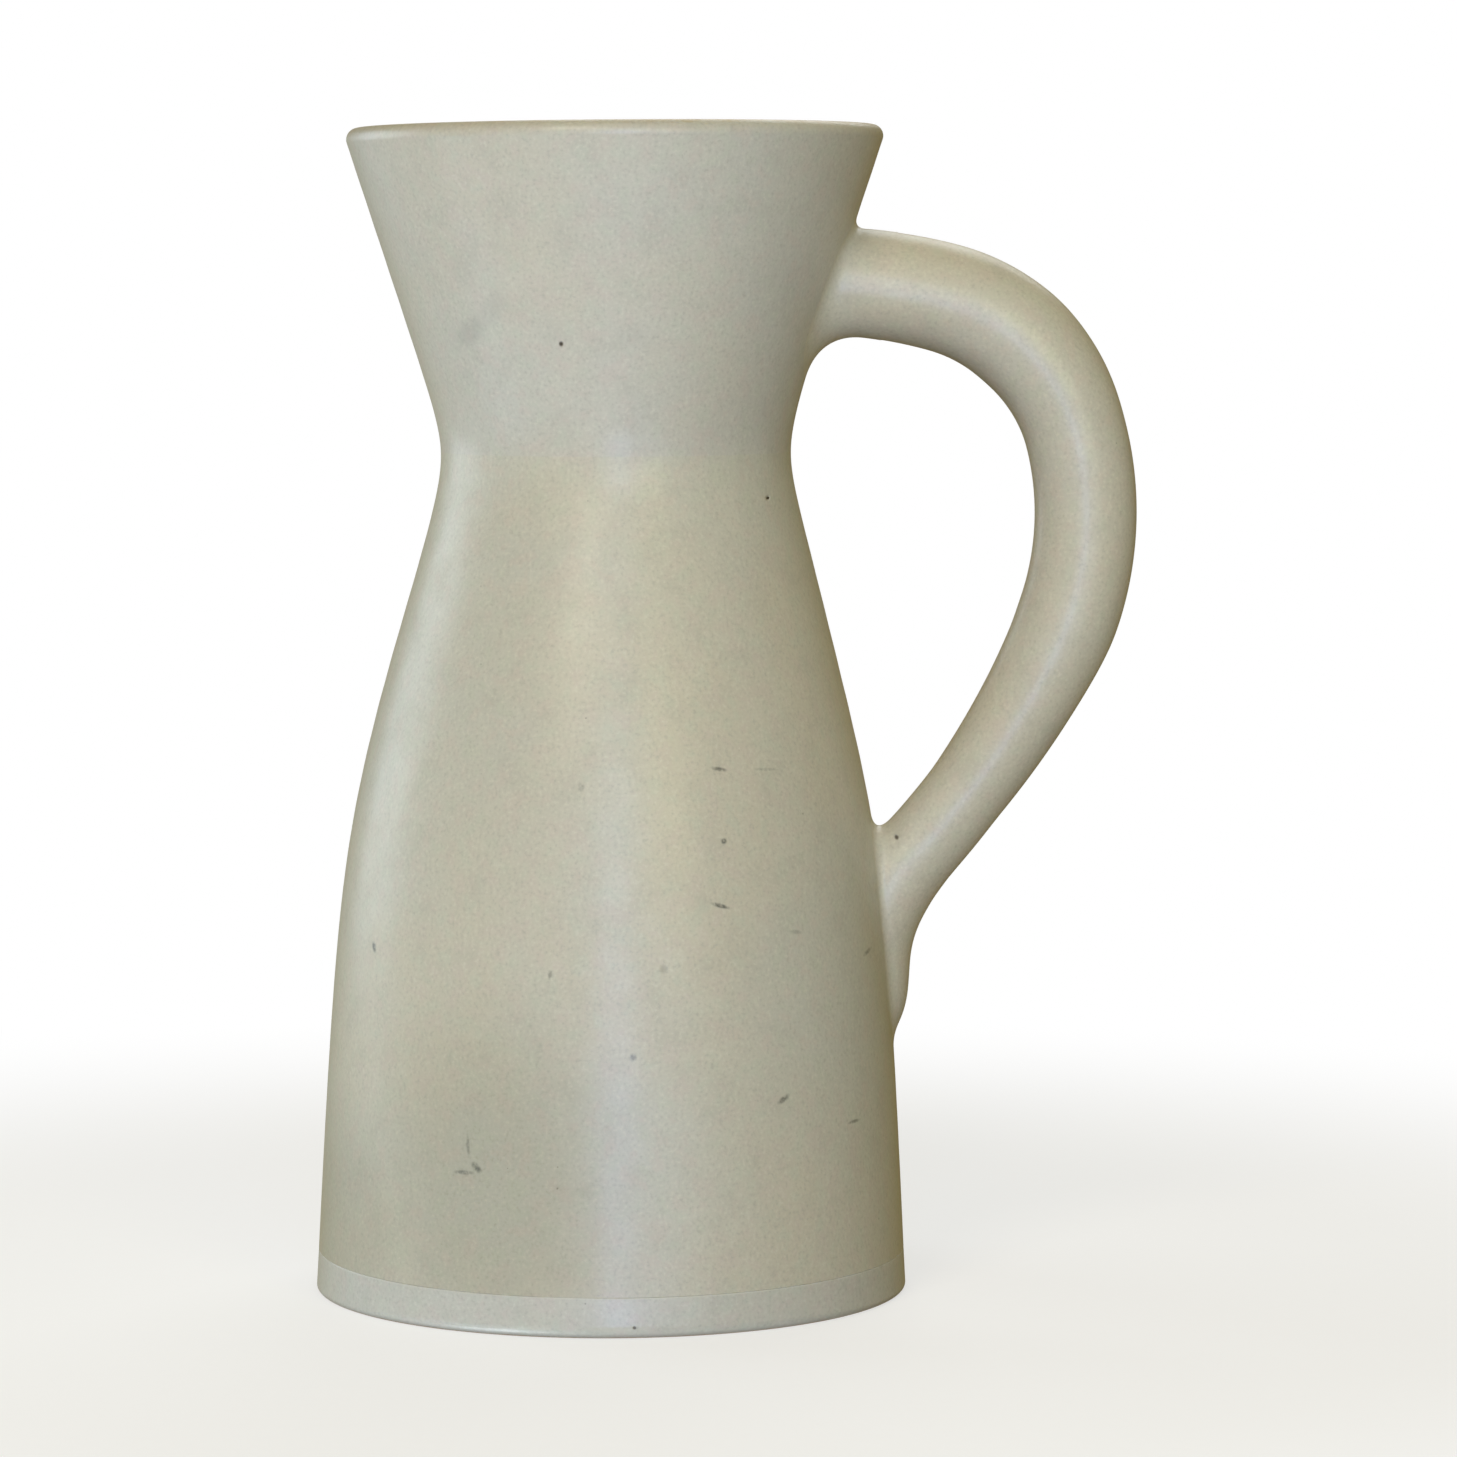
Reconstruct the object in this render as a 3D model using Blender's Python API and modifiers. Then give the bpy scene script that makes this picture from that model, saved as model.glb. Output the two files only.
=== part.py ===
"""A large ceramic water jug, built the way a potter builds it.

A bell-shaped lower wall stands on a thick base disc whose edge shows as a plain foot band, and a
flared neck collar is set on top of it. A pulled handle is luted to the collar and to the lower wall.
Metres, +Z up, the origin at the middle of the foot, the handle towards +X.
"""

import math

import bmesh
import bpy
import numpy as np

# Overall sizes.
HEIGHT = 0.290
WALL = 0.0062
GAP = 0.0003  # left between two pieces that are luted together
SIDES = 64  # facets round the jug

# The outer wall is a gently tapering cone. It leans in more above the shoulder and flares out again
# above the waist. Each change of slope is spread over a height, called its softness.
FOOT_RADIUS = 0.0747
FOOT_TAPER = 0.0435
SHOULDER_HEIGHT = 0.1168
SHOULDER_TAPER = 0.2597
SHOULDER_SOFTNESS = 0.0366
WAIST_HEIGHT = 0.2097
NECK_FLARE = 0.632
WAIST_SOFTNESS = 0.0095
LOWER_RINGS = 16  # rings of facets up the lower wall
NECK_RINGS = 10  # and up the collar
EVEN_PACE = 4.0  # radians of bend that a metre of straight wall counts as, when rings are shared out

# The base disc, with the foot band as its edge.
DISC_THICKNESS = 0.0102
BAND_FLARE = 0.0008  # how far the band's lower edge stands out past its upper edge
BAND_EDGE_RADIUS = 0.0030
ARRIS = 0.0004  # the softened edge at the top of the band

# The coil of clay in the inside corner.
COIL_RADIUS = 0.0080
COIL_EDGE = 0.0006  # what is left of the coil's feathered edges

# The handle's centre line is a chain of stretches: each one's length, and how far it turns down.
HANDLE_START = (0.0460, 0.2518)  # inside the neck
HANDLE_HEADING = 2.7  # degrees above the horizontal
HANDLE_STRETCHES = ((0.0377, 17.6), (0.0470, 58.5), (0.0585, 42.9), (0.0593, 15.3))
HANDLE_STATIONS = (0.0, 0.060, 0.085, 0.135, 0.155, 0.185, 0.2025)
HANDLE_RADII = (0.0132, 0.0138, 0.0127, 0.0127, 0.0116, 0.0102, 0.0103)
HANDLE_STEP = 0.0065  # between rings of facets
END_STEP = 0.0005  # a short last step keeps a limb's end face square to its line

# The clay round the upper root reaches this far along the centre line, and thickens into the neck.
UPPER_ROOT_END = 0.0240
UPPER_ROOT_SWELL = 0.0035
UPPER_ROOT_STEP = 0.0030

# The tail carries on from the handle's lower end, turns down the wall and thins out.
TAIL_STRETCHES = ((0.0066, -1.0), (0.0258, -38.7), (0.0244, 6.5))
TAIL_STATIONS = (0.0, 0.013, 0.027, 0.041, 0.0495, 0.055)
TAIL_RADII = (0.0103, 0.0113, 0.0112, 0.0110, 0.0079, 0.0050)
TAIL_STEP = 0.0028

# Each look is a linear colour and a roughness.
GLAZE = ((0.50, 0.49, 0.41), 0.42)
FOOT_GLAZE = ((0.54, 0.53, 0.46), 0.42)
LUTING_GLAZE = ((0.49, 0.46, 0.36), 0.45)


def ramp(height, start, softness):
    """Nothing below the start and the height above it, run into each other in a hyperbola."""
    above = height - start
    return (above + np.sqrt(above**2 + softness**2)) / 2


def outer_radius(height):
    """The outer wall's radius at a height."""
    shoulder = SHOULDER_TAPER * ramp(height, SHOULDER_HEIGHT, SHOULDER_SOFTNESS)
    neck = NECK_FLARE * ramp(height, WAIST_HEIGHT, WAIST_SOFTNESS)
    return FOOT_RADIUS - FOOT_TAPER * height - shoulder + neck


def lean(height):
    """The wall's angle from upright at a height, positive where it flares upwards."""
    step = 1e-5
    return np.arctan((outer_radius(height + step) - outer_radius(height - step)) / (2 * step))


def inner_radius(height):
    """The inner wall's radius at a height, a wall's thickness inside the outer one."""
    return outer_radius(height) - WALL / np.cos(lean(height))


def ring_heights(low, high, count):
    """Heights for the rings of a stretch of wall, closer together where the wall bends."""
    fine = np.linspace(low, high, 500)
    bend = np.abs(np.gradient(lean(fine), fine))
    pace = np.cumsum(EVEN_PACE + bend)
    return np.interp(np.linspace(pace[0], pace[-1], count), pace, fine)


def lower_heights():
    """The lower wall's rings, from the base disc to the waist."""
    return ring_heights(DISC_THICKNESS + GAP, WAIST_HEIGHT - GAP / 2, LOWER_RINGS)


def rim():
    """The rim's rounding: its centre, its radius and the wall's lean there."""
    radius = WALL / 2
    angle = float(lean(HEIGHT - radius))
    tangent = HEIGHT - radius - radius * math.sin(angle)
    return (float(outer_radius(tangent)) - radius * math.cos(angle), HEIGHT - radius), radius, angle


def neck_heights():
    """The collar's rings, from the waist to where the rim's rounding starts."""
    (_, height), radius, angle = rim()
    return ring_heights(WAIST_HEIGHT + GAP / 2, height - radius * math.sin(angle), NECK_RINGS)


def arc(centre, radius, start, end, count):
    """Points of an arc, its angles in degrees from +X towards +Z."""
    angles = np.radians(np.linspace(start, end, count))
    return [(centre[0] + radius * math.cos(a), centre[1] + radius * math.sin(a)) for a in angles]


def material(name, look):
    """A Principled material of one colour and roughness."""
    colour, roughness = look
    made = bpy.data.materials.new(name)
    made.use_nodes = True
    shader = made.node_tree.nodes["Principled BSDF"]
    shader.inputs["Base Color"].default_value = (*colour, 1.0)
    shader.inputs["Roughness"].default_value = roughness
    shader.inputs["Metallic"].default_value = 0.0
    return made


def dress(piece, look):
    """Gives a piece its own material."""
    piece.data.materials.clear()
    piece.data.materials.append(material(piece.name, look))


def turned(name, profile, collection, closed):
    """A turned piece: its profile at +X, carried once round the Z axis by a Screw modifier."""
    edges = [(i, i + 1) for i in range(len(profile) - 1)]
    if closed:
        edges.append((len(profile) - 1, 0))
    mesh = bpy.data.meshes.new(name)
    mesh.from_pydata([(x, 0.0, z) for x, z in profile], edges, [])
    piece = bpy.data.objects.new(name, mesh)
    collection.objects.link(piece)
    screw = piece.modifiers.new("turn", "SCREW")
    screw.steps = SIDES
    screw.render_steps = SIDES
    screw.use_merge_vertices = True
    screw.merge_threshold = 0.00005
    screw.use_smooth_shade = True
    return piece


def centre_line(start, heading, stretches, step, first=0.0):
    """Points along a chain of stretches from the distance first on.

    Also gives the distance to each point, and the place and heading at the chain's end.
    """
    length = sum(stretch[0] for stretch in stretches)
    ends = np.cumsum([0.0] + [stretch[0] for stretch in stretches])
    turns = np.cumsum([0.0] + [stretch[1] for stretch in stretches])
    fine = np.linspace(0.0, length, 4001)
    angle = np.radians(heading - np.interp(fine, ends, turns))
    x = start[0] + np.cumsum(np.cos(angle)) * fine[1]
    z = start[1] + np.cumsum(np.sin(angle)) * fine[1]
    distance = np.linspace(first, length, int(round((length - first) / step)) + 1)
    distance = np.concatenate([[first, first + END_STEP], distance[1:-1], [length - END_STEP, length]])
    points = [(float(np.interp(d, fine, x)), float(np.interp(d, fine, z))) for d in distance]
    return points, distance, (x[-1], z[-1]), heading - turns[-1]


def weld(mesh):
    """Joins a tube's loose caps to its sides and turns its faces out."""
    work = bmesh.new()
    work.from_mesh(mesh)
    bmesh.ops.remove_doubles(work, verts=work.verts, dist=0.00002)
    bmesh.ops.recalc_face_normals(work, faces=work.faces)
    work.to_mesh(mesh)
    work.free()


def limb(name, points, radii, collection):
    """A round-section limb with closed ends along a centre line in the XZ plane."""
    curve = bpy.data.curves.new(name, "CURVE")
    curve.dimensions = "3D"
    curve.twist_mode = "MINIMUM"
    curve.use_fill_caps = True
    curve.bevel_resolution = 4
    curve.bevel_depth = max(radii)
    spline = curve.splines.new("POLY")
    spline.points.add(len(points) - 1)
    for knot, (x, z), radius in zip(spline.points, points, radii):
        knot.co = (x, 0.0, z, 1.0)
        knot.radius = radius / curve.bevel_depth
    line = bpy.data.objects.new(name + "_line", curve)
    collection.objects.link(line)
    evaluated = line.evaluated_get(bpy.context.evaluated_depsgraph_get())
    mesh = bpy.data.meshes.new_from_object(evaluated)
    mesh.name = name
    weld(mesh)
    mesh.shade_smooth()
    mesh.set_sharp_from_angle(angle=math.radians(50))
    piece = bpy.data.objects.new(name, mesh)
    piece.matrix_world = line.matrix_world
    collection.objects.link(piece)
    bpy.data.objects.remove(line)
    return piece


def clear_of(piece, cutter):
    """Cuts a piece clear of the wall that it is luted to."""
    cut = piece.modifiers.new("clear", "BOOLEAN")
    cut.operation = "DIFFERENCE"
    cut.solver = "EXACT"
    cut.object = cutter


def base_disc(collection):
    """The disc that the jug stands on; its edge is the foot band, rounded under."""
    top = float(outer_radius(DISC_THICKNESS))
    low = top + BAND_FLARE
    profile = [(0.0, DISC_THICKNESS), (top - ARRIS, DISC_THICKNESS), (top, DISC_THICKNESS - ARRIS)]
    profile += arc((low - BAND_EDGE_RADIUS, BAND_EDGE_RADIUS), BAND_EDGE_RADIUS, 0, -90, 7)
    profile += [(0.0, 0.0)]
    dress(turned("base_disc", profile, collection, closed=False), FOOT_GLAZE)


def base_coil(collection):
    """A coil pressed into the inside corner, its face hollowed by a fingertip."""
    low = DISC_THICKNESS + GAP
    high = low + COIL_RADIUS
    wall_low = float(inner_radius(low)) - GAP
    wall_high = float(inner_radius(high)) - GAP
    profile = [(wall_high, high), (wall_low, low), (wall_low - COIL_RADIUS, low)]
    centre = (wall_high - COIL_RADIUS, high)
    profile += arc(centre, COIL_RADIUS - COIL_EDGE, -90, 0, 7)
    dress(turned("base_coil", profile, collection, closed=True), GLAZE)


def lower_wall(collection):
    """The bell-shaped thrown wall from the base disc to the waist."""
    heights = lower_heights()
    profile = [(float(outer_radius(z)), float(z)) for z in heights[::-1]]
    profile += [(float(inner_radius(z)), float(z)) for z in heights]
    dress(turned("lower_wall", profile, collection, closed=True), GLAZE)


def neck_collar(collection):
    """The flared collar from the waist up to its rounded rim."""
    centre, radius, angle = rim()
    heights = neck_heights()
    tilt = math.degrees(angle)
    profile = arc(centre, radius, 180 - tilt, -tilt, 9)
    profile += [(float(outer_radius(z)), float(z)) for z in heights[-2::-1]]
    profile += [(float(inner_radius(z)), float(z)) for z in heights]
    dress(turned("neck_collar", profile, collection, closed=True), GLAZE)


def wall_cutter(collection):
    """The jug's outer shape as one solid, a gap larger all round: it cuts the limbs clear."""
    heights = np.concatenate([lower_heights(), neck_heights()])[::-1]
    profile = [(0.0, float(heights[0]))]
    profile += [(float(outer_radius(z) + GAP / np.cos(lean(z))), float(z)) for z in heights]
    profile += [(0.0, float(heights[-1]))]
    cutter = turned("wall_cutter", profile, collection, closed=False)
    cutter.hide_render = True
    cutter.display_type = "WIRE"
    return cutter


def handle_upper_joint(collection, cutter):
    """The clay worked round the handle's upper root, thickening into the neck."""
    length, turn = HANDLE_STRETCHES[0]
    stretch = (UPPER_ROOT_END, turn * UPPER_ROOT_END / length)
    points, distance, _, _ = centre_line(HANDLE_START, HANDLE_HEADING, (stretch,), UPPER_ROOT_STEP)
    radii = HANDLE_RADII[0] + UPPER_ROOT_SWELL * (1 - distance / UPPER_ROOT_END) ** 2
    piece = limb("handle_upper_joint", points, radii, collection)
    clear_of(piece, cutter)
    dress(piece, LUTING_GLAZE)


def handle(collection):
    """The pulled handle, from its upper root round to its lower one, thinner as it goes."""
    points, distance, end, heading = centre_line(
        HANDLE_START, HANDLE_HEADING, HANDLE_STRETCHES, HANDLE_STEP, UPPER_ROOT_END + GAP
    )
    radii = np.interp(distance, HANDLE_STATIONS, HANDLE_RADII)
    dress(limb("handle", points, radii, collection), GLAZE)
    return end, heading


def handle_lower_joint(collection, cutter, end, heading):
    """The wad of clay under the handle's lower end, with the tail that is smeared down the wall."""
    points, distance, _, _ = centre_line(end, heading, TAIL_STRETCHES, TAIL_STEP, GAP)
    radii = np.interp(distance, TAIL_STATIONS, TAIL_RADII)
    piece = limb("handle_lower_joint", points, radii, collection)
    clear_of(piece, cutter)
    dress(piece, LUTING_GLAZE)


def main():
    """Builds the jug's pieces in the order that a potter joins them."""
    for old in list(bpy.data.objects):
        bpy.data.objects.remove(old)
    jug = bpy.data.collections.new("water_jug")
    cutters = bpy.data.collections.new("cutters")
    bpy.context.scene.collection.children.link(jug)
    bpy.context.scene.collection.children.link(cutters)
    base_disc(jug)
    lower_wall(jug)
    base_coil(jug)
    neck_collar(jug)
    cutter = wall_cutter(cutters)
    handle_upper_joint(jug, cutter)
    end, heading = handle(jug)
    handle_lower_joint(jug, cutter, end, heading)


main()
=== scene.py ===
"""The looks of a large ceramic water jug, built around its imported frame.

The jug is a bell-shaped wall with a flared neck, a plain foot band and a pulled handle that is luted
on. Every surface is a grid of points worked out from a formula. Metres, +Z up, the handle towards +X.
"""

from __future__ import annotations

import logging
import math
from dataclasses import dataclass, field, replace
from enum import Enum

import bpy
import numpy as np
from mathutils import Euler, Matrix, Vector


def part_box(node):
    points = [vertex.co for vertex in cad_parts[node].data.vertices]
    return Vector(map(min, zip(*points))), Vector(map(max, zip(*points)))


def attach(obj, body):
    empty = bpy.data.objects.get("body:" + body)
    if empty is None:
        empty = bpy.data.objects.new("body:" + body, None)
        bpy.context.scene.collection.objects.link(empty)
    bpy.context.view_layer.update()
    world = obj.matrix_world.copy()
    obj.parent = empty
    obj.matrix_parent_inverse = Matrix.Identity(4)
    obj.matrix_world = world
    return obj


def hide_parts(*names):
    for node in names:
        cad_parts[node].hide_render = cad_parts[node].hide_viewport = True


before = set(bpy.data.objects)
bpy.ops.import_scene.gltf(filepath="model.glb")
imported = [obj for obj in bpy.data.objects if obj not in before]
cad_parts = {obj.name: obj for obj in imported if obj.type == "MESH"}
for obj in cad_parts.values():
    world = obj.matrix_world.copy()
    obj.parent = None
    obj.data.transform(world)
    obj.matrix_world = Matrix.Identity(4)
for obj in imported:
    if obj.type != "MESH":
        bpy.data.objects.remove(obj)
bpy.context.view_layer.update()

LOG = logging.getLogger("water_jug")
Array = np.ndarray
Faces = list[list[int]]
Colour = tuple[float, float, float]
CREASE_ANGLE = math.radians(40.0)


class Piece(Enum):
    """The jug's visible pieces, by name."""

    DISC = "foot_disc"
    COIL = "inside_coil"
    BELL = "bell_wall"
    NECK = "flared_neck"
    UPPER_ROOT = "handle_root_upper"
    HANDLE = "pulled_handle"
    LOWER_ROOT = "handle_root_tail"


class Slot(Enum):
    """The material slots, by name."""

    WALL = "wall_glaze"
    HANDLE = "handle_glaze"
    FOOT = "foot_glaze"
    INSIDE = "inner_glaze"


# ---------------------------------------------------------------- grids and meshes


def smooth_step(value: Array, low: float, high: float) -> Array:
    """Rises from 0 at low to 1 at high along 3t^2 - 2t^3.

    Args:
        value: where to read the step.
        low: the value at which it starts to rise.
        high: the value at which it is done.

    Returns:
        The step at each value.
    """
    share = np.clip((value - low) / (high - low), 0.0, 1.0)
    return share * share * (3.0 - 2.0 * share)


def arc(centre: tuple[float, float], radius: float, start: float, end: float, count: int) -> Array:
    """Points of an arc: the centre plus the radius times the cosine and the sine of the angle.

    Args:
        centre: the arc's centre, as radius and height.
        radius: the arc's own radius.
        start: the first angle in degrees, from outwards towards upwards.
        end: the last angle in degrees.
        count: how many points there are.

    Returns:
        The points, one row each.
    """
    angle = np.radians(np.linspace(start, end, count))
    return np.stack([centre[0] + radius * np.cos(angle), centre[1] + radius * np.sin(angle)], axis=1)


def run(start: tuple[float, float], end: tuple[float, float], count: int) -> Array:
    """Points of a straight run, without its two ends.

    Args:
        start: the end that it leaves.
        end: the end that it leads to.
        count: how many points there are between them.

    Returns:
        The points, one row each.
    """
    share = (np.arange(count) + 1.0)[:, None] / (count + 1)
    return np.array(start) * (1 - share) + np.array(end) * share


def band(rows: int, columns: int, looped: bool) -> Array:
    """Four-sided faces between the neighbours of a grid whose columns run right round.

    Args:
        rows: how many rows the grid has.
        columns: how many columns it has; the last one meets the first.
        looped: whether the last row meets the first as well.

    Returns:
        Four point numbers for each face.
    """
    row = np.arange(rows if looped else rows - 1)[:, None]
    column = np.arange(columns)[None, :]
    below, beside = (row + 1) % rows, (column + 1) % columns
    corners = [row * columns + column, below * columns + column, below * columns + beside]
    corners.append(row * columns + beside)
    return np.stack(corners, axis=-1).reshape(-1, 4)


def fan(ring: Array, pole: int) -> Array:
    """Three-sided faces from a ring of points to one pole.

    Args:
        ring: the ring's point numbers, in order.
        pole: the pole's point number.

    Returns:
        Three point numbers for each face.
    """
    return np.stack([np.full(len(ring), pole), ring, np.roll(ring, -1)], axis=1)


def turned(outline: Array, columns: int, looped: bool) -> tuple[Array, Faces]:
    """Carries an outline once round the upright axis: x = r cos t, y = r sin t, z as in the outline.

    Args:
        outline: rows of radius and height that run down the outer side; a radius of 0 at an end is a pole.
        columns: how many points there are round the axis.
        looped: whether the outline is a closed loop.

    Returns:
        The points and the faces.
    """
    top_pole, low_pole = outline[0, 0] == 0.0, outline[-1, 0] == 0.0
    rings = outline[int(top_pole) : len(outline) - int(low_pole)]
    turn = np.linspace(0.0, 2 * math.pi, columns, endpoint=False)
    radius, height = rings[:, :1], rings[:, 1:]
    grid = np.stack([radius * np.cos(turn), radius * np.sin(turn), height + 0 * turn], axis=-1)
    points, faces = grid.reshape(-1, 3), band(len(rings), columns, looped).tolist()
    first, last = np.arange(columns), np.arange(columns) + (len(rings) - 1) * columns
    if top_pole:
        faces += fan(first, len(points)).tolist()
        points = np.vstack([points, [[0.0, 0.0, outline[0, 1]]]])
    if low_pole:
        faces += fan(last[::-1], len(points)).tolist()
        points = np.vstack([points, [[0.0, 0.0, outline[-1, 1]]]])
    return points, faces


def capped(grid: Array, start: Array, end: Array) -> tuple[Array, Faces]:
    """A tube of rings closed at both ends with a pole each.

    Args:
        grid: the rings, as rows by columns by x, y, z.
        start: the pole of the first ring.
        end: the pole of the last ring.

    Returns:
        The points and the faces.
    """
    rows, columns = grid.shape[:2]
    points = np.vstack([grid.reshape(-1, 3), start[None], end[None]])
    first, last = np.arange(columns), np.arange(columns) + (rows - 1) * columns
    faces = band(rows, columns, False).tolist()
    faces += fan(first, rows * columns).tolist() + fan(last[::-1], rows * columns + 1).tolist()
    return points, faces


def make_piece(piece: Piece, shape: tuple[Array, Faces]) -> bpy.types.Object:
    """Makes a piece from points and faces, smooth except along its real corners.

    Args:
        piece: which piece it is.
        shape: its points, in their final places, and its faces.

    Returns:
        The new object, at the origin.
    """
    points, faces = shape
    mesh = bpy.data.meshes.new(piece.value)
    mesh.from_pydata(points.tolist(), [], faces)
    mesh.shade_smooth()
    mesh.set_sharp_from_angle(angle=CREASE_ANGLE)
    made = bpy.data.objects.new(piece.value, mesh)
    bpy.context.scene.collection.objects.link(made)
    return made


def settle_in(made: bpy.types.Object, nodes: tuple[str, ...], finish: bpy.types.Material) -> None:
    """Ties a piece to the frame and gives it its finish.

    Args:
        made: the piece.
        nodes: the frame's nodes that it stands for.
        finish: its material.
    """
    made.data.materials.append(finish)
    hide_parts(*nodes)
    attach(made, "root")
    LOG.info("%s: %d faces, %s", made.name, len(made.data.polygons), finish.name)


# ---------------------------------------------------------------- the wall's formula


@dataclass(frozen=True)
class WallShape:
    """The wall's outline: a gentle cone that leans in above the shoulder and flares above the waist."""

    height: float
    foot_radius: float = 0.0747
    foot_taper: float = 0.0435
    shoulder_height: float = 0.1168
    shoulder_taper: float = 0.2597
    shoulder_softness: float = 0.0366
    waist_height: float = 0.2097
    neck_flare: float = 0.632
    waist_softness: float = 0.0095
    thickness: float = 0.0062
    even_pace: float = 9.0
    fine_steps: int = 4000

    @staticmethod
    def ramp(height: Array, start: float, softness: float) -> Array:
        """Nothing below the start and the height above it, run into each other in a hyperbola.

        Args:
            height: where to read the ramp.
            start: where it starts.
            softness: the height that its bend is spread over.

        Returns:
            (h + sqrt(h^2 + softness^2)) / 2, where h is the height above the start.
        """
        above = height - start
        return (above + np.sqrt(above**2 + softness**2)) / 2

    def outer(self, height: Array) -> Array:
        """The outer radius: the foot's cone, less the shoulder's ramp, plus the neck's ramp.

        Args:
            height: heights above the table.

        Returns:
            The radius at each height.
        """
        shoulder = self.shoulder_taper * self.ramp(height, self.shoulder_height, self.shoulder_softness)
        neck = self.neck_flare * self.ramp(height, self.waist_height, self.waist_softness)
        return self.foot_radius - self.foot_taper * height - shoulder + neck

    def lean(self, height: Array) -> Array:
        """The wall's angle from upright, the arctangent of the outer radius's slope.

        Args:
            height: heights above the table.

        Returns:
            The angle at each height in radians, positive where the wall flares upwards.
        """
        step = 1e-5
        return np.arctan((self.outer(height + step) - self.outer(height - step)) / (2 * step))

    def inner(self, height: Array) -> Array:
        """The inner radius, one thickness inside the outer one, measured square to the wall.

        Args:
            height: heights above the table.

        Returns:
            The radius at each height.
        """
        return self.outer(height) - self.thickness / np.cos(self.lean(height))

    def rings(self, low: float, high: float, count: int, edge: float) -> Array:
        """Heights for a stretch's rings, shared out by length and bend, with extra ones at its ends.

        Args:
            low: the lowest ring.
            high: the highest ring.
            count: how many rings are shared out.
            edge: the first ring's distance from each end; the extra rings double it three times.

        Returns:
            The rings' heights, rising.
        """
        fine = np.linspace(low, high, self.fine_steps)
        pace = np.cumsum(self.even_pace + np.abs(np.gradient(self.lean(fine), fine)))
        shared = np.interp(np.linspace(pace[0], pace[-1], count), pace, fine)
        extra = edge * 2.0 ** np.arange(4)
        inside = shared[(shared > low + 1.5 * extra[-1]) & (shared < high - 1.5 * extra[-1])]
        return np.concatenate([[low], low + extra, inside, high - extra[::-1], [high]])

    def gap(self, points: Array) -> tuple[Array, Array]:
        """How far points stand off the outer wall: the radial gap times the cosine of the lean.

        Args:
            points: x, y, z on the last axis.

        Returns:
            The distances, negative inside the wall, and the directions in which they grow.
        """
        radius = np.maximum(np.hypot(points[..., 0], points[..., 1]), 1e-9)
        height = points[..., 2]
        lean = self.lean(height)
        away = np.stack(
            [points[..., 0] / radius * np.cos(lean), points[..., 1] / radius * np.cos(lean), -np.sin(lean)],
            axis=-1,
        )
        return (radius - self.outer(height)) * np.cos(lean), away

    def on_wall(self, across: Array, height: Array) -> Array:
        """The point of the outer wall at a width round from the handle's side and at a height.

        Args:
            across: width round the wall.
            height: height above the table.

        Returns:
            The points, x, y, z on the last axis.
        """
        radius = self.outer(height)
        return np.stack([radius * np.cos(across / radius), radius * np.sin(across / radius), height], axis=-1)


@dataclass(frozen=True)
class HandWork:
    """How a hand-thrown jug strays from a true turned one: under 2 mm anywhere."""

    height: float
    drift: float = 0.00178
    bow: float = 0.00016
    waist_shift: float = 0.00065
    foot_shift: float = 0.0004
    waist_at: float = 0.192
    waist_spread: float = 0.032
    rim_dip: float = 0.0079
    oval: float = 0.0022
    ripple: float = 0.00002
    ripple_pitch: float = 0.0125

    def settle(self, points: Array) -> Array:
        """Moves points as the throwing did.

        The axis drifts towards +X in step with the height, with a slight bow, a bell-shaped shift at
        the waist and a shift of the foot that dies away as the fourth power of the height left.
        The rim falls away from the handle's side in step with x. The section swells by
        the sine of twice the turn, and faint rings run round the wall, a sine of the height that
        comes and goes.

        Args:
            points: x, y, z on the last axis.

        Returns:
            The moved points.
        """
        x, y, z = points[..., 0], points[..., 1], points[..., 2]
        share = z / self.height
        turn = np.arctan2(y, x)
        radius = np.maximum(np.hypot(x, y), 0.02)
        rising = smooth_step(share, 0.05, 0.3)
        rings = np.sin(2 * math.pi * z / self.ripple_pitch + 0.8 * np.sin(turn)) * np.sin(8.0 * share + 0.6)
        swell = 1 + self.oval * np.sin(2 * turn) * np.sin(math.pi * share) * rising
        swell = swell + self.ripple * rings * rising / radius
        drift = self.drift * share + self.bow * 4 * share * (1 - share)
        drift = drift + self.waist_shift * np.exp(-(((z - self.waist_at) / self.waist_spread) ** 2))
        drift = drift + self.foot_shift * (1 - share) ** 4
        rise = self.rim_dip * x * smooth_step(share, 0.6, 1.0)
        return np.stack([x * swell + drift, y * swell, z + rise], axis=-1)

    def unsettle(self, points: Array) -> Array:
        """The points that settle moves to the given ones, to first order.

        Args:
            points: where the points end up.

        Returns:
            Where they start.
        """
        return 2 * points - self.settle(points)


# ---------------------------------------------------------------- the handle's formula


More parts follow.
